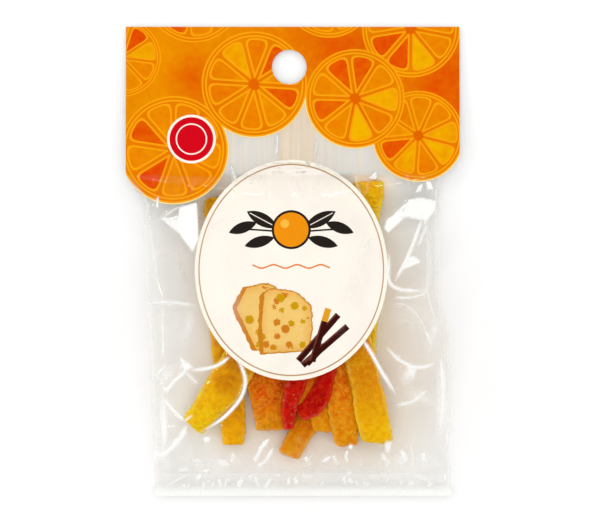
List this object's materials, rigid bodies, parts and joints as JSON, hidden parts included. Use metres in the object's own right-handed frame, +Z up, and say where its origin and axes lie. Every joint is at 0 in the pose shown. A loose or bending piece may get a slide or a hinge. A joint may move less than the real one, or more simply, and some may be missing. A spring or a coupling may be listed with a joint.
{
  "type": "bag of candied orange peel",
  "caption": "Sealed clear film bag of candied orange peel strips, lying on its back, with a printed header and a round hang hole.",
  "frame": {"origin": "on the surface the bag lies on, below the middle of its bounding box", "axes": "+Y from the bottom hem to the header's top edge, +Z up through the printed front, +X to the right seen from the front"},
  "size_m": [0.1, 0.1406, 0.0175],
  "materials": {
    "clear_film": "clear glossy film",
    "header_print": "orange ink under glossy film",
    "label_print": "cream ink under glossy film",
    "peel": "moist candied peel with a sugar glaze"
  },
  "bodies": {
    "root": {"bag": "clear_film"}
  },
  "joints": []
}
